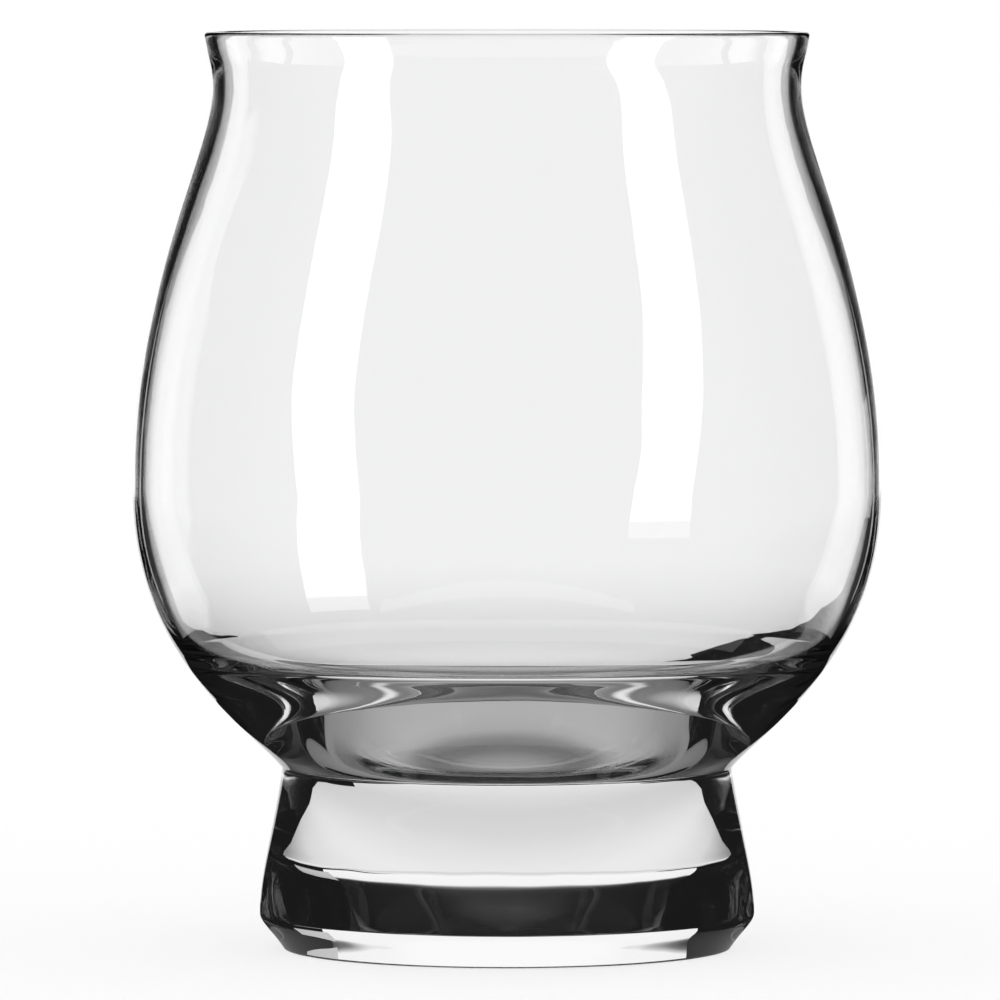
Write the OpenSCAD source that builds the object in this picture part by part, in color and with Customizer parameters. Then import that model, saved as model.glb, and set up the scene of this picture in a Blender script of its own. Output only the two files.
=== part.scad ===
// Footed nosing glass: one piece of clear glass, a body of revolution about the Z axis.
// Millimetres. Z = 0 is the plane that the glass rests on, and the axis runs up through the mouth.

/* [Overall] */
// Height from the table to the top of the rim
glass_h = 101.6; // [92:0.2:115]

/* [Rim] */
// Outer diameter of the rim
rim_d = 67; // [62:0.1:74]
// Lean of the lip away from upright, in degrees
rim_lean = 8; // [0:1:20]
// Thickness of the wall at the rim
rim_wall = 1.3; // [0.8:0.05:2]
// Radius of the two rounded edges of the lip
lip_r = 0.4; // [0.1:0.05:0.4]
// Outer diameter of the waist below the lip
waist_d = 65.2; // [60:0.1:72]
// Drop from the top of the rim to the waist
waist_drop = 6.2; // [4:0.1:12]
// Thickness of the wall at the waist
waist_wall = 1.4; // [0.8:0.05:2]

/* [Bowl] */
// Outer diameter of the belly, the widest part of the glass
belly_d = 83; // [78:0.1:92]
// Height of the belly above the table
belly_z = 51; // [46:0.2:60]
// Thickness of the wall at the belly
belly_wall = 1.1; // [0.7:0.05:1.6]
// Lean of the bowl away from upright where it meets the neck, in degrees
bowl_lean = 39; // [30:1:50]

/* [Foot] */
// Diameter of the neck, the narrowest part of the glass
neck_d = 49.8; // [44:0.1:56]
// Height of the neck above the table
neck_z = 20; // [16:0.1:24]
// Radius of the hollow corner between the bowl and the foot
neck_fillet_r = 0.6; // [0.2:0.1:1.5]
// Widest diameter of the solid foot
foot_d = 54.9; // [50:0.1:62]
// Width of the foot's bevelled lower edge
foot_edge_w = 2.65; // [2:0.05:6]
// Height of that edge, up to where the foot is widest
foot_edge_h = 3.9; // [2:0.1:6]
// Lean of that edge outward from upright where it leaves the ring, in degrees
foot_edge_lean = 34; // [20:1:45]
// Lean of the foot's side inward from upright where it meets the neck, in degrees
foot_lean = 9; // [0:1:16]
// Width of the flat ring that touches the table
ring_w = 2.5; // [0.5:0.1:5]
// Depth of the shallow hollow inside that ring, at its centre
punt_h = 1; // [0.5:0.1:3]

/* [Inside] */
// Height above the table of the lowest point inside the bowl
floor_z = 22; // [18:0.1:28]
// Rise from that point to the turn where the side runs into the floor
turn_rise = 10.2; // [8:0.1:13]
// Thickness of the glass at that turn, measured level
turn_wall = 2.8; // [1.5:0.1:6]
// Lean of the inside away from upright at that turn, in degrees
turn_lean = 66; // [55:1:70]

/* [Hidden] */
$fn = 128;

// Straight faces along each curved run of the outline
run_steps = 18;
// Straight faces along each rounded corner
corner_steps = 6;

// How far each curve keeps the direction it starts and ends with, as a share of the height that it climbs
lip_handle_shares = [0.45, 0.45];
shoulder_handle_shares = [0.52, 0.17];
bowl_handle_shares = [0.17, 0.61];
foot_edge_handle_shares = [0.69, 0.11];
foot_handle_shares = [0.27, 0.55];
wall_handle_shares = [0.2, 0.4];
// The same for the floor, from its middle to the turn, as shares of the radius at the turn
floor_handle_shares = [0.5, 0.31];

// Radii and heights of the stations along the outside
rim_r = rim_d / 2;
lip_z = glass_h - lip_r;
waist_r = waist_d / 2;
waist_z = glass_h - waist_drop;
belly_r = belly_d / 2;
neck_r = neck_d / 2;
foot_r = foot_d / 2;
ring_r = foot_r - foot_edge_w;
punt_r = ring_r - ring_w;

// Direction [outward, upward] of a line that leans away from upright by this angle
function heading(lean) = [sin(lean), cos(lean)];

// Point at fraction t of the smooth curve with these four control points
function curve_point(a, b, c, d, t) =
    pow(1 - t, 3) * a + 3 * t * pow(1 - t, 2) * b + 3 * t * t * (1 - t) * c + pow(t, 3) * d;

// Points of a smooth curve from one station to the next, each a radius and a height.
// It leaves and arrives at the given leans, and keeps each for its own reach.
function curve(low, low_lean, low_reach, high, high_lean, high_reach) =
    let (low_handle = low + low_reach * heading(low_lean))
    let (high_handle = high - high_reach * heading(high_lean))
    [for (i = [0:run_steps]) curve_point(low, low_handle, high_handle, high, i / run_steps)];

// The same for a curve up the side, whose reaches are shares of its climb
function run(low, low_lean, high, high_lean, shares) =
    let (climb = high[1] - low[1])
    curve(low, low_lean, climb * shares[0], high, high_lean, climb * shares[1]);

// The same points from the top down
function reversed(points) = [for (i = [len(points) - 1:-1:0]) points[i]];

// Points of a quarter ellipse about a centre, from one angle to another
function quarter(centre, half_width, half_height, from, to) =
    [for (i = [0:corner_steps])
        let (angle = from + (to - from) * i / corner_steps)
        centre + [half_width * cos(angle), half_height * sin(angle)]];

// Radius of an outline at a height
function radius_at(points, height) = lookup(height, [for (p = points) [p[1], p[0]]]);

// The hollow under the foot: an arc from the centre to the ring that touches the table
punt_sphere_r = (punt_r * punt_r + punt_h * punt_h) / (2 * punt_h);
punt = [for (i = [0:corner_steps])
    let (r = punt_r * i / corner_steps)
    [r, punt_h - punt_sphere_r + sqrt(punt_sphere_r * punt_sphere_r - r * r)]];

// The foot: its bevelled lower edge, and its side up to the neck
foot_edge = run([ring_r, 0], foot_edge_lean, [foot_r, foot_edge_h], 0, foot_edge_handle_shares);
neck = [neck_r, neck_z];
neck_trim = neck_fillet_r * tan((bowl_lean + foot_lean) / 2);
neck_below = neck - neck_trim * heading(-foot_lean);
neck_above = neck + neck_trim * heading(bowl_lean);
foot_side = run([foot_r, foot_edge_h], 0, neck_below, -foot_lean, foot_handle_shares);
neck_corner = [for (i = [0:corner_steps])
    curve_point(neck_below, (neck_below + 2 * neck) / 3, (neck_above + 2 * neck) / 3, neck_above,
                i / corner_steps)];

// The outside of the bowl: up to the belly, in to the waist and out to the lip
bowl_side = run(neck_above, bowl_lean, [belly_r, belly_z], 0, bowl_handle_shares);
shoulder = run([belly_r, belly_z], 0, [waist_r, waist_z], 0, shoulder_handle_shares);
lip_side = run([waist_r, waist_z], 0, [rim_r, lip_z], rim_lean, lip_handle_shares);
lip_outer_edge = quarter([rim_r - lip_r, lip_z], lip_r, lip_r, 0, 90);

// The inside, from the lip down: each wall stands in from the outside by its own thickness
rim_inner_r = rim_r - rim_wall;
waist_inner_r = waist_r - waist_wall;
belly_inner_r = belly_r - belly_wall;
lip_inner_edge = quarter([rim_inner_r + lip_r, lip_z], lip_r, lip_r, 90, 180);
lip_inside = reversed(run([waist_inner_r, waist_z], 0, [rim_inner_r, lip_z], rim_lean, lip_handle_shares));
shoulder_inside =
    reversed(run([belly_inner_r, belly_z], 0, [waist_inner_r, waist_z], 0, shoulder_handle_shares));

// The turn at the bottom of the inside, and the round floor below it
turn_z = floor_z + turn_rise;
turn_r = radius_at(bowl_side, turn_z) - turn_wall;
wall_inside =
    reversed(run([turn_r, turn_z], turn_lean, [belly_inner_r, belly_z], 0, wall_handle_shares));
floor_inside = reversed(curve([0, floor_z], 90, turn_r * floor_handle_shares[0],
                              [turn_r, turn_z], turn_lean, turn_r * floor_handle_shares[1]));

outline = concat(punt, foot_edge, foot_side, neck_corner, bowl_side, shoulder, lip_side, lip_outer_edge,
                 lip_inner_edge, lip_inside, shoulder_inside, wall_inside, floor_inside);

// Outline points, without those that repeat the one before
merge_gap = lip_r / 1000;
clean_outline = [for (i = [0:len(outline) - 1]) if (i == 0 || norm(outline[i] - outline[i - 1]) > merge_gap)
    outline[i]];

module glass()
    color([0.86, 0.89, 0.9, 0.45])
        rotate_extrude()
            polygon(clean_outline);

glass();
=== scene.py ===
"""A clear footed nosing glass on a white table, against a bright backdrop.

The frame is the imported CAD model. Its one node, the glass, is drawn again here as a fine turned mesh with
the small waves of blown and pressed glass. Round it stands a studio set that only the glass shows.
Everything is in metres, with +Z up along the axis of the glass.
"""

import math

import bmesh
import bpy
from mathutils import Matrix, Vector


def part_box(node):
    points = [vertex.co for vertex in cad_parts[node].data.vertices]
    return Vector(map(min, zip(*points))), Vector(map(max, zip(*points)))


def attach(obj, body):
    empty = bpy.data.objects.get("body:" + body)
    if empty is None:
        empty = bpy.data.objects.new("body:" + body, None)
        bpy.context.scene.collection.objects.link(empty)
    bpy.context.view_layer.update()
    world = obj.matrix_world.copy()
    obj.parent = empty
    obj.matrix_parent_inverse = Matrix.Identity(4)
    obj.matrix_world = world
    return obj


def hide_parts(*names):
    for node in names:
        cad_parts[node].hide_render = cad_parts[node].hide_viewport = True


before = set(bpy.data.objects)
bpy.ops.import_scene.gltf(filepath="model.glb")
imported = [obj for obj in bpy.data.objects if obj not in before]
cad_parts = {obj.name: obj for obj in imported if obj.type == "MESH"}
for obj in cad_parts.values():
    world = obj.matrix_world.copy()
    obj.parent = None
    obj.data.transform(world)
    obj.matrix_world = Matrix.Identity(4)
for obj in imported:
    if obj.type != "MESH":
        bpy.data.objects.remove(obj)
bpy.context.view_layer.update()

MM = 0.001

# Sizes of the glass. The height and the belly come from the frame, and the rest matches the CAD model.
# Leans are in degrees off upright.
GLASS_LOW, GLASS_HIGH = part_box("glass")
GLASS_HEIGHT = GLASS_HIGH[2]
BELLY_RADIUS = GLASS_HIGH[0]
BELLY_HEIGHT = 51 * MM
BELLY_WALL = 1.1 * MM
RIM_RADIUS = 33.5 * MM
RIM_LEAN = 8
RIM_WALL = 1.3 * MM
LIP_RADIUS = 0.4 * MM
WAIST_RADIUS = 32.6 * MM
WAIST_DROP = 6.2 * MM
WAIST_WALL = 1.4 * MM
BOWL_LEAN = 39
NECK_RADIUS = 24.9 * MM
NECK_HEIGHT = 20 * MM
NECK_FILLET = 0.6 * MM
FOOT_RADIUS = 27.45 * MM
FOOT_EDGE_WIDTH = 2.65 * MM
FOOT_EDGE_HEIGHT = 3.9 * MM
FOOT_EDGE_LEAN = 34
FOOT_LEAN = 9
RING_WIDTH = 2.5 * MM
PUNT_DEPTH = 1 * MM
FLOOR_HEIGHT = 22 * MM
TURN_RISE = 10.2 * MM
TURN_RADIUS = 33.2 * MM
TURN_LEAN = 66

# How far each curve keeps its first and last direction, as shares of its climb
LIP_SHARES = (0.45, 0.45)
SHOULDER_SHARES = (0.52, 0.17)
BOWL_SHARES = (0.17, 0.61)
FOOT_SHARES = (0.27, 0.55)
WALL_SHARES = (0.2, 0.4)
# The same for the floor, as shares of the radius at its turn
FLOOR_SHARES = (0.5, 0.31)
# The same for the foot's bevelled edge, as shares of its height
FOOT_EDGE_SHARES = (0.69, 0.25)
# A quarter circle as one smooth curve keeps its direction for this share of the radius
ROUND_SHARE = 0.5523

# Faces round the glass
TURNED_SIDES = 240
# Points of the turned outline that are closer than this become one
WELD = 0.002 * MM

# Where the photograph was taken from, and what it is aimed at on the axis of the glass
CAMERA_DISTANCE = 1.142
CAMERA_HEIGHT = 110.6 * MM
CAMERA_SIDE = -0.78 * MM
AIM_HEIGHT = 49.7 * MM
# Width of the picture at the axis of the glass
FRAME_WIDTH = 110.9 * MM
# Width of the camera's sensor in mm
SENSOR_WIDTH = 36

# How a piece of the set shows: in reflections on the outside of the glass, through the glass, or both
REFLECTED = (True, False)
THROUGH = (False, True)
BOTH = (True, True)
# The studio set, measured from the glass. Angles are in degrees off its back, the side away from the camera.
SET_RADIUS = 200 * MM
SET_HEIGHT = 400 * MM
# Straight pieces along each of its round cards
CARD_STEPS = 90
# Glow of everything black in it
BLACK_GLOW = 0.01
# A black curtain round the sides and the front, which shows only through the glass
CURTAIN_ANGLES = (31, 327)
# White panels round the sides and the front, which only reflections on the outside show: where they
# stand, their glow at these angles to either side, the most that it may be, and the distances from the axis
# between which their glow, painted as light on the table in front of them, fades in
PANEL_ANGLES = (38, 322)
PANEL_GLOWS = ((38, 0.05), (43, 0.1), (46, 0.7), (50, 1.5), (54, 2.0), (60, 2.1), (70, 1.9), (83, 1.4),
               (93, 1.05), (105, 0.95), (130, 0.8), (155, 0.72), (180, 0.7))
PANEL_PEAK = 3.0
PANEL_FADE = (80 * MM, 160 * MM)
# Two black flags just behind the glass, which draw its edges: distance behind the axis, outer edge in mm,
# and rows of height and inner edge in mm
FLAG_DEPTH = 39 * MM
FLAG_OUTER = 62
FLAG_ROWS = ((0, 47), (32, 47), (38, 50), (50, 53), (61, 50.7), (72, 48.7), (83, 41.7), (89, 40.2),
             (140, 40))
# Glow of the backdrop at these elevations in degrees: white at the horizon, black above it, dim further up
BACKDROP_GLOWS = ((0, 1.0), (14, 1.0), (15.5, 0.2), (16.5, 0.05), (18, 0.02), (28, 0.01), (33, 0.2),
                  (42, 0.2), (48, 0.01), (90, 0.01))
# Glow of the table at these distances in mm from the axis, as the glass shows it: painted shadow near the
# foot
TABLE_REACH = 500 * MM
TABLE_PAINTED_SHADE = ((0, 0.33), (3, 0.29), (5, 0.27), (7, 0.19), (9, 0.155), (11, 0.16), (13, 0.33), (14.5, 0.43),
               (19, 0.4), (24, 0.28), (30, 0.16), (35, 0.2), (41, 0.8), (46, 0.92), (56, 0.74), (64, 0.7),
               (76, 0.8), (90, 0.85), (240, 0.89), (350, 0.95), (450, 1.0))
# Glow that the whole set turns to for rays that come down steeply, and the angles in degrees between which
# it does so
STEEP_GLOW = 0.85
STEEP_ANGLES = (59, 68)
# Share of plain white in the table as the camera sees it: the rest carries the shadow of the glass
CAMERA_WHITE = 0.6
TABLE_HALF_WIDTH = 3.0
# How far the table lies under the foot, so that they don't touch
TABLE_DROP = 0.02 * MM
# Black cloth on the table, open to the back, which paints shade into the table as the glass shows it: the
# glass's shadow near the foot, and a darker table towards the sides and the front. Rows of distance in mm,
# and the angles that it reaches to on the right and on the left. Reflections on the outside don't show the
# outer piece.
CLOTH_LIFT = 0.01 * MM
INNER_SHADE_CLOTH = ((29, 15, 15), (38, 17, 17), (41, 20, 20), (46, 22.5, 22.5), (51, 25.5, 25.5),
               (58, 26.5, 26.5), (61, 24, 26), (66, 17, 24))
OUTER_SHADE_CLOTH = ((66, 17, 24), (70, 18.5, 24), (74, 18, 24), (79, 16.5, 24), (83, 16.5, 17.5),
               (92, 16, 17.5), (145, 16, 20), (200, 15.5, 28), (262, 15.5, 33))
# Two low black aprons round the sides and the front of the foot. The near one keeps reflections of the strip
# lights off its outside, and the far one keeps the bright table from showing through it.
APRON_ANGLES = (64, 296)
NEAR_APRON_RADIUS = 34 * MM
NEAR_APRON_HEIGHT = 26 * MM
FAR_APRON_RADIUS = 50 * MM
FAR_APRON_HEIGHT = 33 * MM
# Two low black wings beside the foot, which only reflections on the outside of the bowl show
WING_ANGLES = ((50, 118), (242, 310))
WING_RADIUS = 51 * MM
WING_HEIGHT = 26 * MM
# A low grey card at the back right, which the lower left of the foot shows
GREY_CARD_RADIUS = 195 * MM
GREY_CARD_ANGLES = (29.5, 43)
GREY_CARD_HEIGHTS = (20 * MM, 64 * MM)
GREY_CARD_GLOW = 0.62
# A black visor between the strip lights and the mouth, which keeps them off the inside of the back wall
VISOR_RADIUS = 50 * MM
VISOR_ANGLES = (100, 260)
VISOR_HEIGHTS = (103.5 * MM, 132 * MM)
# Two strip lights beside the camera, each with a fainter lower end: rows of height in mm and of the first
# and last angle off the camera
STRIP_RADIUS = 90 * MM
STRIP_STEPS = 8
STRIP_GLOW = 4.5
FAINT_GLOW = 2.2
LEFT_STRIP = ((8.5, -56, -37.2), (18, -54.4, -36), (50, -51.9, -35), (72, -55.6, -37.7), (96, -57, -38),
              (118, -59.5, -38), (140, -61, -39))
LEFT_FAINT = ((0, -57, -38), (8.5, -56, -37.2))
RIGHT_STRIP = ((43, 28.8, 44.8), (50, 29.5, 45), (61, 32, 47.3), (72, 32.8, 49.7), (96, 36.3, 53.7),
               (118, 38, 57.2), (140, 39, 58.5))
RIGHT_FAINT = ((36.5, 28.8, 45), (43, 28.8, 44.8))


# Outline of the glass

def heading(lean):
    """Direction of a line in the outline that leans outwards from upright by this angle in degrees."""
    angle = math.radians(lean)
    return Vector((math.sin(angle), math.cos(angle), 0))


def station(radius, height):
    """A point of the outline."""
    return Vector((radius, height, 0))


def add_curve(outline, steps, start, start_handle, end_handle, end):
    """Adds one smooth curve to the outline."""
    spline = outline.splines.new("BEZIER")
    spline.bezier_points.add(1)
    spline.resolution_u = steps
    for point, place in zip(spline.bezier_points, (start, end)):
        point.handle_left_type = "FREE"
        point.handle_right_type = "FREE"
        point.co = place
        point.handle_left = place
        point.handle_right = place
    spline.bezier_points[0].handle_right = start_handle
    spline.bezier_points[1].handle_left = end_handle


def add_run(outline, steps, start, start_lean, end, end_lean, shares):
    """Adds a curve up or down the side, which keeps its directions for shares of its climb."""
    climb = end.y - start.y
    add_curve(outline, steps, start, start + climb * shares[0] * heading(start_lean),
              end - climb * shares[1] * heading(end_lean), end)


def add_round(outline, steps, start, corner, end):
    """Adds a quarter of an ellipse that rounds off a corner."""
    add_curve(outline, steps, start, start.lerp(corner, ROUND_SHARE), end.lerp(corner, ROUND_SHARE), end)


def glass_outline():
    """The half section of the glass, from the middle of its underside up the outside and down the inside.

    The number in each call is how many straight pieces that stretch of the outline gets.
    """
    outline = bpy.data.curves.new("glass_outline", "CURVE")
    outline.dimensions = "2D"
    lip_height = GLASS_HEIGHT - LIP_RADIUS
    waist_height = GLASS_HEIGHT - WAIST_DROP
    ring_radius = FOOT_RADIUS - FOOT_EDGE_WIDTH
    punt_radius = ring_radius - RING_WIDTH
    neck = station(NECK_RADIUS, NECK_HEIGHT)
    neck_trim = NECK_FILLET * math.tan(math.radians((BOWL_LEAN + FOOT_LEAN) / 2))
    neck_below = neck - neck_trim * heading(-FOOT_LEAN)
    neck_above = neck + neck_trim * heading(BOWL_LEAN)
    foot_wide = station(FOOT_RADIUS, FOOT_EDGE_HEIGHT)
    belly = station(BELLY_RADIUS, BELLY_HEIGHT)
    waist = station(WAIST_RADIUS, waist_height)
    rim = station(RIM_RADIUS, lip_height)
    rim_inside = station(RIM_RADIUS - RIM_WALL, lip_height)
    waist_inside = station(WAIST_RADIUS - WAIST_WALL, waist_height)
    belly_inside = station(BELLY_RADIUS - BELLY_WALL, BELLY_HEIGHT)
    turn = station(TURN_RADIUS, FLOOR_HEIGHT + TURN_RISE)
    floor = station(0, FLOOR_HEIGHT)

    punt_middle = station(0, PUNT_DEPTH)
    punt_edge = station(punt_radius, 0)
    add_curve(outline, 12, punt_middle, station(punt_radius / 3, PUNT_DEPTH),
              punt_middle.lerp(punt_edge, 2 / 3), punt_edge)
    ring = station(ring_radius, 0)
    add_curve(outline, 2, punt_edge, punt_edge, ring, ring)
    add_run(outline, 26, ring, FOOT_EDGE_LEAN, foot_wide, 0, FOOT_EDGE_SHARES)
    add_run(outline, 26, foot_wide, 0, neck_below, -FOOT_LEAN, FOOT_SHARES)
    add_curve(outline, 8, neck_below, neck_below.lerp(neck, 2 / 3), neck_above.lerp(neck, 2 / 3), neck_above)
    add_run(outline, 46, neck_above, BOWL_LEAN, belly, 0, BOWL_SHARES)
    add_run(outline, 56, belly, 0, waist, 0, SHOULDER_SHARES)
    add_run(outline, 16, waist, 0, rim, RIM_LEAN, LIP_SHARES)
    add_round(outline, 5, rim, rim + station(0, LIP_RADIUS), rim + station(-LIP_RADIUS, LIP_RADIUS))
    add_curve(outline, 2, rim + station(-LIP_RADIUS, LIP_RADIUS), rim + station(-LIP_RADIUS, LIP_RADIUS),
              rim_inside + station(LIP_RADIUS, LIP_RADIUS), rim_inside + station(LIP_RADIUS, LIP_RADIUS))
    add_round(outline, 5, rim_inside + station(LIP_RADIUS, LIP_RADIUS), rim_inside + station(0, LIP_RADIUS),
              rim_inside)
    add_run(outline, 16, rim_inside, RIM_LEAN, waist_inside, 0, LIP_SHARES[::-1])
    add_run(outline, 56, waist_inside, 0, belly_inside, 0, SHOULDER_SHARES[::-1])
    add_run(outline, 44, belly_inside, 0, turn, TURN_LEAN, WALL_SHARES[::-1])
    add_curve(outline, 44, turn, turn - TURN_RADIUS * FLOOR_SHARES[1] * heading(TURN_LEAN),
              floor + TURN_RADIUS * FLOOR_SHARES[0] * heading(90), floor)
    return outline


# The lathe

class Nodes:
    """Adds nodes to a tree and links them, so that a tree reads as a list of steps."""

    def __init__(self, tree):
        self.tree = tree

    def add(self, kind, inputs=None, **settings):
        """One node with these settings, and a value or another node's output in each named input."""
        node = self.tree.nodes.new(kind)
        for name, value in settings.items():
            setattr(node, name, value)
        for name, value in (inputs or {}).items():
            self.feed(node.inputs[name], value)
        return node

    def feed(self, socket, value):
        """Links an output to the socket, or sets the socket's value."""
        if isinstance(value, bpy.types.NodeSocket):
            self.tree.links.new(value, socket)
        else:
            socket.default_value = value

    def math(self, operation, first, second=0.0):
        """The output of one math node."""
        node = self.tree.nodes.new("ShaderNodeMath")
        node.operation = operation
        self.feed(node.inputs[0], first)
        self.feed(node.inputs[1], second)
        return node.outputs[0]


def lathe_tree():
    """Turns an outline about the Z axis, and gives the surface the small waves of blown glass."""
    tree = bpy.data.node_groups.new("lathe", "GeometryNodeTree")
    sockets = (("Outline", "NodeSocketObject"), ("Sides", "NodeSocketInt"), ("Weld", "NodeSocketFloat"),
               ("Wave Height", "NodeSocketFloat"), ("Wave Size", "NodeSocketFloat"),
               ("Foot Wave Height", "NodeSocketFloat"), ("Foot Wave Size", "NodeSocketFloat"),
               ("Foot Top", "NodeSocketFloat"), ("Foot Fade", "NodeSocketFloat"),
               ("Edge Wave Height", "NodeSocketFloat"), ("Edge Wave Size", "NodeSocketFloat"),
               ("Edge Top", "NodeSocketFloat"), ("Edge Fade", "NodeSocketFloat"),
               ("Seed", "NodeSocketFloat"), ("Material", "NodeSocketMaterial"))
    for name, kind in sockets:
        tree.interface.new_socket(name=name, in_out="INPUT", socket_type=kind)
    tree.interface.new_socket(name="Geometry", in_out="OUTPUT", socket_type="NodeSocketGeometry")
    nodes = Nodes(tree)
    given = nodes.add("NodeGroupInput").outputs

    # One row of points for each point of the outline, and one column for each side
    drawn = nodes.add("GeometryNodeObjectInfo", {"Object": given["Outline"]})
    section = nodes.add("GeometryNodeCurveToMesh", {"Curve": drawn.outputs["Geometry"]}).outputs["Mesh"]
    rows = nodes.add("GeometryNodeAttributeDomainSize", {"Geometry": section}).outputs["Point Count"]
    columns = nodes.math("ADD", given["Sides"], 1.0)
    sheet = nodes.add("GeometryNodeMeshGrid", {"Vertices X": rows, "Vertices Y": columns}).outputs["Mesh"]
    index = nodes.add("GeometryNodeInputIndex").outputs[0]
    row = nodes.math("FLOOR", nodes.math("DIVIDE", nodes.math("ADD", index, 0.5), columns))
    column = nodes.math("SUBTRACT", index, nodes.math("MULTIPLY", row, columns))
    angle = nodes.math("DIVIDE", nodes.math("MULTIPLY", column, math.tau), given["Sides"])
    place = nodes.add("GeometryNodeSampleIndex", {"Geometry": section, "Index": row},
                      data_type="FLOAT_VECTOR", domain="POINT")
    nodes.feed(place.inputs["Value"], nodes.add("GeometryNodeInputPosition").outputs[0])
    parts = nodes.add("ShaderNodeSeparateXYZ", {0: place.outputs["Value"]}).outputs
    turned = nodes.add("ShaderNodeCombineXYZ", {
        "X": nodes.math("MULTIPLY", parts["X"], nodes.math("COSINE", angle)),
        "Y": nodes.math("MULTIPLY", parts["X"], nodes.math("SINE", angle)),
        "Z": parts["Y"]})
    shape = nodes.add("GeometryNodeSetPosition", {"Geometry": sheet, "Position": turned.outputs[0]})
    welded = nodes.add("GeometryNodeMergeByDistance", {
        "Geometry": shape.outputs[0], "Distance": given["Weld"]})

    # Waves along the surface's normal, stronger and shorter in the pressed foot, and most at its lower edge
    position = nodes.add("GeometryNodeInputPosition").outputs[0]
    height = nodes.add("ShaderNodeSeparateXYZ", {0: position}).outputs["Z"]
    waves = nodes.math("MULTIPLY", wave(nodes, given["Wave Size"], given["Seed"]), given["Wave Height"])
    for zone in ("Foot", "Edge"):
        low = nodes.add("ShaderNodeMapRange", {
            "Value": height, "From Min": nodes.math("ADD", given[zone + " Top"], given[zone + " Fade"]),
            "From Max": given[zone + " Top"]}, interpolation_type="SMOOTHSTEP").outputs[0]
        zone_waves = nodes.math("MULTIPLY", wave(nodes, given[zone + " Wave Size"], given["Seed"]),
                                nodes.math("MULTIPLY", low, given[zone + " Wave Height"]))
        waves = nodes.math("ADD", waves, zone_waves)
    shift = nodes.add("ShaderNodeVectorMath", {
        0: nodes.add("GeometryNodeInputNormal").outputs[0], "Scale": waves}, operation="SCALE")
    waved = nodes.add("GeometryNodeSetPosition", {"Geometry": welded.outputs[0], "Offset": shift.outputs[0]})
    real = nodes.add("GeometryNodeRealizeInstances", {"Geometry": waved.outputs[0]})
    painted = nodes.add("GeometryNodeSetMaterial", {
        "Geometry": real.outputs[0], "Material": given["Material"]})
    tree.links.new(painted.outputs[0], nodes.add("NodeGroupOutput").inputs["Geometry"])
    return tree


def wave(nodes, size, seed):
    """Soft noise from -1 to 1 over the surface, with bumps of about this size."""
    noise = nodes.add("ShaderNodeTexNoise", {"W": seed, "Scale": nodes.math("DIVIDE", 1.0, size),
                                             "Detail": 1.0, "Roughness": 0.4}, noise_dimensions="4D")
    return nodes.math("MULTIPLY", nodes.math("SUBTRACT", noise.outputs[0], 0.5), 2.0)


def set_inputs(modifier, values):
    """Sets a modifier's inputs, found by name, through the identifiers of their sockets."""
    sockets = {item.name: item.identifier for item in modifier.node_group.interface.items_tree
               if item.item_type == "SOCKET" and item.in_out == "INPUT"}
    for name, value in values.items():
        modifier[sockets[name]] = value


def turn_glass(material):
    """The glass as one closed, smooth mesh."""
    outline = bpy.data.objects.new("glass_outline", glass_outline())
    bpy.context.collection.objects.link(outline)
    blank = bpy.data.objects.new("blank", bpy.data.meshes.new("blank"))
    bpy.context.collection.objects.link(blank)
    lathe = blank.modifiers.new("lathe", "NODES")
    lathe.node_group = lathe_tree()
    set_inputs(lathe, {
        "Outline": outline, "Sides": TURNED_SIDES, "Weld": WELD,
        "Wave Height": 0.01 * MM, "Wave Size": 30 * MM,
        "Foot Wave Height": 0.02 * MM, "Foot Wave Size": 6 * MM,
        "Foot Top": 24 * MM, "Foot Fade": 12 * MM,
        "Edge Wave Height": 0.014 * MM, "Edge Wave Size": 3.2 * MM,
        "Edge Top": 3.5 * MM, "Edge Fade": 3 * MM,
        "Seed": 3.7, "Material": material})
    evaluated = blank.evaluated_get(bpy.context.evaluated_depsgraph_get())
    mesh = bpy.data.meshes.new_from_object(evaluated)
    for spare in (blank, outline):
        bpy.data.objects.remove(spare)
    shell = bmesh.new()
    shell.from_mesh(mesh)
    bmesh.ops.recalc_face_normals(shell, faces=shell.faces)
    shell.to_mesh(mesh)
    shell.free()
    mesh.shade_smooth()
    mesh.name = "nosing_glass"
    glass = bpy.data.objects.new("nosing_glass", mesh)
    bpy.context.collection.objects.link(glass)
    return glass


# Materials

def new_material(name):
    """A material with its tree emptied, and a helper to fill it."""
    material = bpy.data.materials.new(name)
    material.use_nodes = True
    material.node_tree.nodes.clear()
    return material, Nodes(material.node_tree)


def clear_glass():
    """Polished soda-lime glass: faint waves and smears, and a foot ring that is scuffed by use."""
    material, nodes = new_material("clear_glass")
    place = nodes.add("ShaderNodeTexCoord").outputs["Object"]
    height = nodes.add("ShaderNodeSeparateXYZ", {0: place}).outputs["Z"]
    smear = nodes.add("ShaderNodeTexNoise", {"Vector": place, "Scale": 45.0, "Detail": 4.0})
    smear_gloss = nodes.add("ShaderNodeMapRange", {
        "Value": smear.outputs[0], "From Min": 0.5, "From Max": 0.8, "To Min": 0.0, "To Max": 0.02})
    scuff = nodes.add("ShaderNodeMapRange", {
        "Value": height, "From Min": 0.03 * MM, "From Max": 0.15 * MM, "To Min": 0.3, "To Max": 0.0})
    gloss = nodes.math("MAXIMUM", smear_gloss.outputs[0], scuff.outputs[0])
    ripple = nodes.add("ShaderNodeTexNoise", {"Vector": place, "Scale": 120.0, "Detail": 2.0})
    bump = nodes.add("ShaderNodeBump", {"Height": ripple.outputs[0], "Strength": 0.02, "Distance": 0.5 * MM})
    shader = nodes.add("ShaderNodeBsdfPrincipled", {
        "Base Color": (0.999, 1, 1, 1), "IOR": 1.52, "Transmission Weight": 1.0,
        "Roughness": gloss, "Normal": bump.outputs[0]})
    output = nodes.add("ShaderNodeOutputMaterial")
    material.node_tree.links.new(shader.outputs[0], output.inputs["Surface"])
    return material


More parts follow.
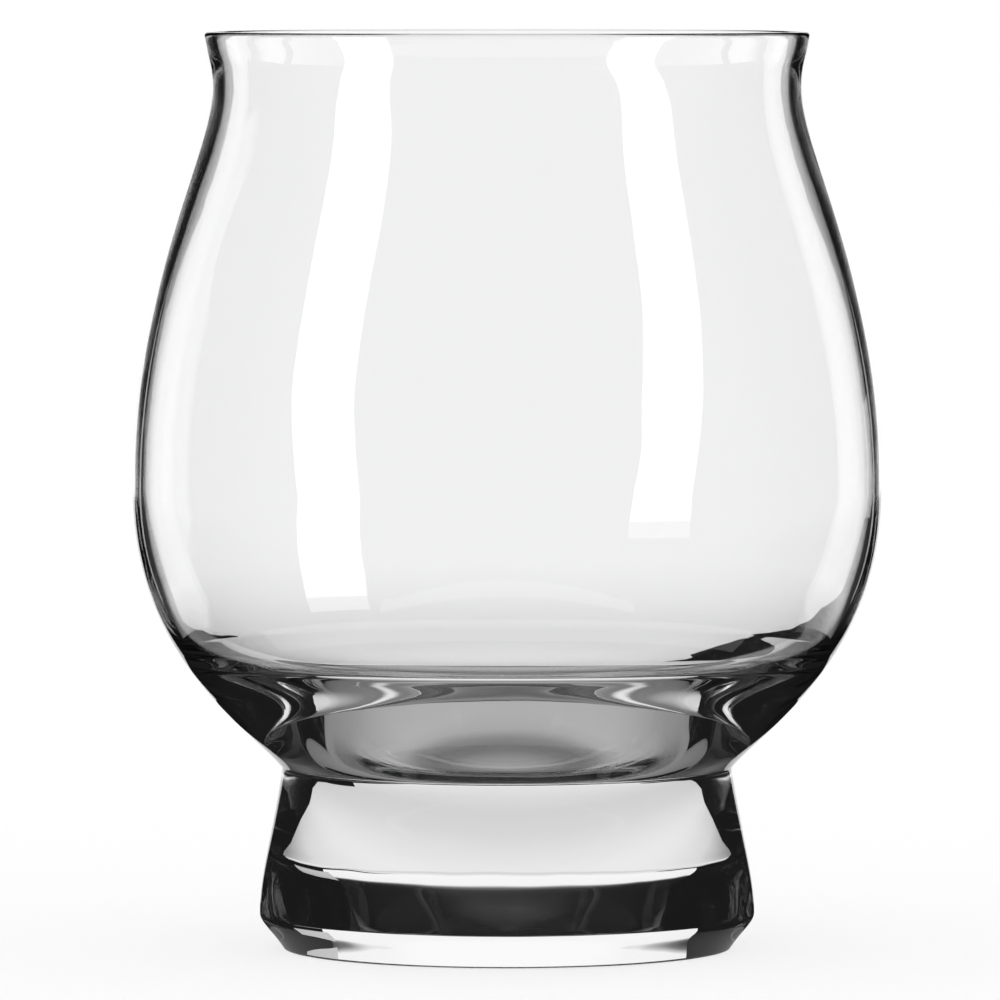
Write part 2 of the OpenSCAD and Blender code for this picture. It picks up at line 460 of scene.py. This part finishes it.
def glow(name, radiance):
    """The glow of a studio card: plain white for all that isn't seen in the glass.

    The radiance is one value, or None for the glow of the white panels.
    """
    material, nodes = new_material(name)
    if radiance is None:
        radiance = panel_glow(nodes)
    lifted = lift_for_steep_rays(nodes, radiance)
    shown = nodes.add("ShaderNodeMapRange", {"Value": seen_in_glass(nodes), "To Min": 1.0, "To Max": lifted})
    shader = nodes.add("ShaderNodeEmission", {"Color": shown.outputs[0], "Strength": 1.0})
    output = nodes.add("ShaderNodeOutputMaterial")
    material.node_tree.links.new(shader.outputs[0], output.inputs["Surface"])
    return material


def panel_glow(nodes):
    """The glow of the white panels, which changes round the glass and fades out towards it in the painted
    light on the table.
    """
    position = nodes.add("ShaderNodeTexCoord").outputs["Object"]
    place = nodes.add("ShaderNodeSeparateXYZ", {0: position}).outputs
    turn = nodes.math("ABSOLUTE", nodes.math("ARCTAN2", place["X"], place["Y"]))
    fade = nodes.add("ShaderNodeValToRGB", {"Fac": nodes.math("DIVIDE", turn, math.pi)})
    set_stops(fade.color_ramp, [(angle / 180, value / PANEL_PEAK) for angle, value in PANEL_GLOWS])
    reach = nodes.math("SQRT", nodes.math("ADD", nodes.math("MULTIPLY", place["X"], place["X"]),
                                          nodes.math("MULTIPLY", place["Y"], place["Y"])))
    near = nodes.add("ShaderNodeMapRange", {
        "Value": reach, "From Min": PANEL_FADE[0], "From Max": PANEL_FADE[1]}).outputs[0]
    return nodes.math("MULTIPLY", fade.outputs["Color"], nodes.math("MULTIPLY", near, PANEL_PEAK))


def seen_in_glass(nodes):
    """1 for what the camera sees in the glass, and 0 for the light that falls on the table through it."""
    ray = nodes.add("ShaderNodeLightPath").outputs
    from_glass = nodes.math("MAXIMUM", ray["Is Glossy Ray"], ray["Is Transmission Ray"])
    return nodes.math("SUBTRACT", from_glass, ray["Diffuse Depth"])


def steep_lift_group():
    """A node group that turns a glow to another for rays that come down steeply, as they do from above."""
    tree = bpy.data.node_groups.new("steep_lift", "ShaderNodeTree")
    for name in ("Glow", "Steep Glow", "Start Rise", "End Rise"):
        tree.interface.new_socket(name=name, in_out="INPUT", socket_type="NodeSocketFloat")
    tree.interface.new_socket(name="Lifted Glow", in_out="OUTPUT", socket_type="NodeSocketFloat")
    nodes = Nodes(tree)
    given = nodes.add("NodeGroupInput").outputs
    rise = nodes.add("ShaderNodeSeparateXYZ", {0: nodes.add("ShaderNodeNewGeometry").outputs["Incoming"]})
    steep = nodes.add("ShaderNodeMapRange", {
        "Value": nodes.math("ABSOLUTE", rise.outputs["Z"]), "From Min": given["Start Rise"],
        "From Max": given["End Rise"]}).outputs[0]
    lifted = nodes.add("ShaderNodeMapRange", {
        "Value": steep, "To Min": given["Glow"], "To Max": given["Steep Glow"]}).outputs[0]
    nodes.add("NodeGroupOutput", {"Lifted Glow": lifted})
    return tree


def lift_for_steep_rays(nodes, radiance):
    """The glow of a piece of the set, as the glass shows it from the front and from above."""
    start, end = (math.sin(math.radians(angle)) for angle in STEEP_ANGLES)
    lift = nodes.tree.nodes.new("ShaderNodeGroup")
    lift.node_tree = bpy.data.node_groups.get("steep_lift") or steep_lift_group()
    inputs = {"Glow": radiance, "Steep Glow": STEEP_GLOW, "Start Rise": start, "End Rise": end}
    for name, value in inputs.items():
        nodes.feed(lift.inputs[name], value)
    return lift.outputs[0]


def table_top():
    """A matt white table, which keeps the shadow of the glass. The glass shows it as a glow with painted
    shade, darker near the foot.
    """
    material, nodes = new_material("table_top")
    place = nodes.add("ShaderNodeTexCoord").outputs["Object"]
    reach = nodes.add("ShaderNodeVectorMath", {0: place}, operation="LENGTH").outputs["Value"]
    # Painted shade: the table's glow as the glass shows it, darker near the foot, where the glass's shadow
    # falls
    fade = nodes.add("ShaderNodeValToRGB", {"Fac": nodes.math("DIVIDE", reach, TABLE_REACH)})
    set_stops(fade.color_ramp, [(distance * MM / TABLE_REACH, value) for distance, value in TABLE_PAINTED_SHADE])
    matt = nodes.add("ShaderNodeBsdfDiffuse", {"Color": (1, 1, 1, 1)})
    white = nodes.add("ShaderNodeEmission", {"Color": (1, 1, 1, 1), "Strength": 1.0})
    bright = nodes.math("MULTIPLY", nodes.add("ShaderNodeLightPath").outputs["Is Camera Ray"], CAMERA_WHITE)
    top = nodes.add("ShaderNodeMixShader", {0: bright, 1: matt.outputs[0], 2: white.outputs[0]})
    lifted = lift_for_steep_rays(nodes, fade.outputs["Color"])
    painted_table_glow = nodes.add("ShaderNodeEmission", {"Color": lifted, "Strength": 1.0})
    both = nodes.add("ShaderNodeMixShader", {0: seen_in_glass(nodes), 1: top.outputs[0], 2: painted_table_glow.outputs[0]})
    output = nodes.add("ShaderNodeOutputMaterial")
    material.node_tree.links.new(both.outputs[0], output.inputs["Surface"])
    return material


def set_stops(ramp, stops):
    """Gives a ramp these grey stops, each a place from 0 to 1 and a value."""
    ramp.interpolation = "LINEAR"
    while len(ramp.elements) < len(stops):
        ramp.elements.new(0.5)
    for element, (place, value) in zip(ramp.elements, stops):
        element.position = place
        element.color = (value, value, value, 1)


# The studio

def on_circle(radius, azimuth, height):
    """A point at this azimuth in degrees from the back of the set, clockwise as seen from above."""
    angle = math.radians(azimuth)
    return (radius * math.sin(angle), radius * math.cos(angle), height)


def set_piece(name, rings, radiance, turntable, shows=BOTH):
    """A card of the set between two or more rows of points. Only the glass shows it."""
    points = [point for ring in rings for point in ring]
    width = len(rings[0])
    faces = [(row * width + i, row * width + i + 1, (row + 1) * width + i + 1, (row + 1) * width + i)
             for row in range(len(rings) - 1) for i in range(width - 1)]
    mesh = bpy.data.meshes.new(name)
    mesh.from_pydata(points, [], faces)
    mesh.materials.append(glow(name, radiance))
    card = bpy.data.objects.new(name, mesh)
    bpy.context.collection.objects.link(card)
    card.parent = turntable
    card.visible_camera = False
    card.visible_diffuse = False
    card.visible_shadow = False
    card.visible_glossy, card.visible_transmission = shows
    return card


def turns(start, end, steps=CARD_STEPS):
    """Angles from start to end, in equal steps."""
    return [start + (end - start) * i / steps for i in range(steps + 1)]


def curtain(name, radius, azimuths, heights, radiance, turntable, shows=BOTH):
    """An upright card that follows a circle round the glass."""
    rings = [[on_circle(radius, turn, height) for turn in turns(*azimuths)] for height in heights]
    return set_piece(name, rings, radiance, turntable, shows)


def shade_carpet(name, rows, turntable, shows):
    """A piece of the black cloth that paints shade on the table. Each row is a distance in mm, and its ends
    on the right and the left.
    """
    rings = [[on_circle(reach * MM, turn, CLOTH_LIFT) for turn in turns(right, 360 - left)]
             for reach, right, left in rows]
    return set_piece(name, rings, BLACK_GLOW, turntable, shows)


def strip_light(name, rows, radiance, turntable):
    """A strip light beside the camera. Each row is a height in mm, and two angles off the camera."""
    rings = [[on_circle(STRIP_RADIUS, turn, height * MM)
              for turn in turns(180 - first, 180 - last, STRIP_STEPS)] for height, first, last in rows]
    return set_piece(name, rings, radiance, turntable, REFLECTED)


def build_table():
    """The white table under everything."""
    half = TABLE_HALF_WIDTH
    mesh = bpy.data.meshes.new("table")
    mesh.from_pydata([(-half, -half, 0), (half, -half, 0), (half, half, 0), (-half, half, 0)], [],
                     [(0, 1, 2, 3)])
    mesh.materials.append(table_top())
    table = bpy.data.objects.new("table", mesh)
    bpy.context.collection.objects.link(table)
    table.location.z = -TABLE_DROP


def build_world():
    """Plain white all round. The glass shows it as a backdrop that is bright only at the horizon."""
    world = bpy.data.worlds.new("studio")
    world.use_nodes = True
    world.node_tree.nodes.clear()
    nodes = Nodes(world.node_tree)
    direction = nodes.add("ShaderNodeTexCoord").outputs["Generated"]
    rise = nodes.add("ShaderNodeSeparateXYZ", {0: direction}).outputs["Z"]
    fade = nodes.add("ShaderNodeValToRGB", {"Fac": rise})
    set_stops(fade.color_ramp, [(math.sin(math.radians(angle)), value) for angle, value in BACKDROP_GLOWS])
    strength = nodes.add("ShaderNodeMapRange", {
        "Value": seen_in_glass(nodes), "To Min": 1.0, "To Max": fade.outputs["Color"]}).outputs[0]
    background = nodes.add("ShaderNodeBackground", {"Color": (1, 1, 1, 1), "Strength": strength})
    output = nodes.add("ShaderNodeOutputWorld")
    world.node_tree.links.new(background.outputs[0], output.inputs["Surface"])
    bpy.context.scene.world = world


def build_camera():
    """The camera at the photograph's place."""
    data = bpy.data.cameras.new("camera")
    camera = bpy.data.objects.new("camera", data)
    bpy.context.collection.objects.link(camera)
    camera.location = (CAMERA_SIDE, -CAMERA_DISTANCE, CAMERA_HEIGHT)
    aim = Vector((CAMERA_SIDE, 0, AIM_HEIGHT)) - camera.location
    camera.rotation_euler = aim.to_track_quat("-Z", "Y").to_euler()
    data.sensor_width = SENSOR_WIDTH
    data.lens = SENSOR_WIDTH * aim.length / FRAME_WIDTH
    data.clip_start = 0.05
    data.clip_end = 20
    bpy.context.scene.camera = camera
    return camera


def build_set(camera):
    """Black cards and white panels round the glass, open to the bright backdrop, and strip lights. Black
    cloth paints shade on the table, and a sheet with the panels' glow paints their light on it.

    The set stands on a turntable that keeps its back away from the camera, so all sides are lit alike.
    """
    turntable = bpy.data.objects.new("turntable", None)
    bpy.context.collection.objects.link(turntable)
    facing = turntable.constraints.new("LOCKED_TRACK")
    facing.target = camera
    facing.track_axis = "TRACK_NEGATIVE_Y"
    facing.lock_axis = "LOCK_Z"
    curtain("black_curtain", SET_RADIUS, CURTAIN_ANGLES, (0, SET_HEIGHT), BLACK_GLOW, turntable, THROUGH)
    curtain("panels", SET_RADIUS, PANEL_ANGLES, (0, SET_HEIGHT), None, turntable, REFLECTED)
    # Painted light: a sheet on the table with the panels' glow, which reflections on the outside show as the
    # lit table
    painted_panel_light = [[on_circle(radius, turn, 2 * CLOTH_LIFT) for turn in turns(*PANEL_ANGLES)]
            for radius in (PANEL_FADE[0], SET_RADIUS)]
    set_piece("panel_feet", painted_panel_light, None, turntable, REFLECTED)
    for side, name in ((1, "right_flag"), (-1, "left_flag")):
        rings = [[(side * reach * MM, FLAG_DEPTH, height * MM) for reach in (inner, FLAG_OUTER)]
                 for height, inner in FLAG_ROWS]
        set_piece(name, rings, BLACK_GLOW, turntable)
    # Painted shade: black cloth on the table, for the glass's shadow near the foot and a darker table
    # further out
    shade_carpet("inner_cloth", INNER_SHADE_CLOTH, turntable, BOTH)
    shade_carpet("outer_cloth", OUTER_SHADE_CLOTH, turntable, THROUGH)
    curtain("near_apron", NEAR_APRON_RADIUS, APRON_ANGLES, (0, NEAR_APRON_HEIGHT), BLACK_GLOW, turntable,
            REFLECTED)
    curtain("far_apron", FAR_APRON_RADIUS, APRON_ANGLES, (0, FAR_APRON_HEIGHT), BLACK_GLOW, turntable,
            THROUGH)
    for name, angles in zip(("right_wing", "left_wing"), WING_ANGLES):
        curtain(name, WING_RADIUS, angles, (0, WING_HEIGHT), BLACK_GLOW, turntable, REFLECTED)
    curtain("grey_card", GREY_CARD_RADIUS, GREY_CARD_ANGLES, GREY_CARD_HEIGHTS, GREY_CARD_GLOW, turntable,
            THROUGH)
    curtain("visor", VISOR_RADIUS, VISOR_ANGLES, VISOR_HEIGHTS, BLACK_GLOW, turntable, REFLECTED)
    strip_light("left_strip", LEFT_STRIP, STRIP_GLOW, turntable)
    strip_light("left_faint", LEFT_FAINT, FAINT_GLOW, turntable)
    strip_light("right_strip", RIGHT_STRIP, STRIP_GLOW, turntable)
    strip_light("right_faint", RIGHT_FAINT, FAINT_GLOW, turntable)


build_world()
build_table()
build_set(build_camera())
nosing_glass = turn_glass(clear_glass())
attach(nosing_glass, "root")
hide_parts("glass")

scene = bpy.context.scene
scene.view_settings.view_transform = "Standard"
scene.cycles.max_bounces = 24
scene.cycles.transmission_bounces = 24
scene.cycles.glossy_bounces = 16
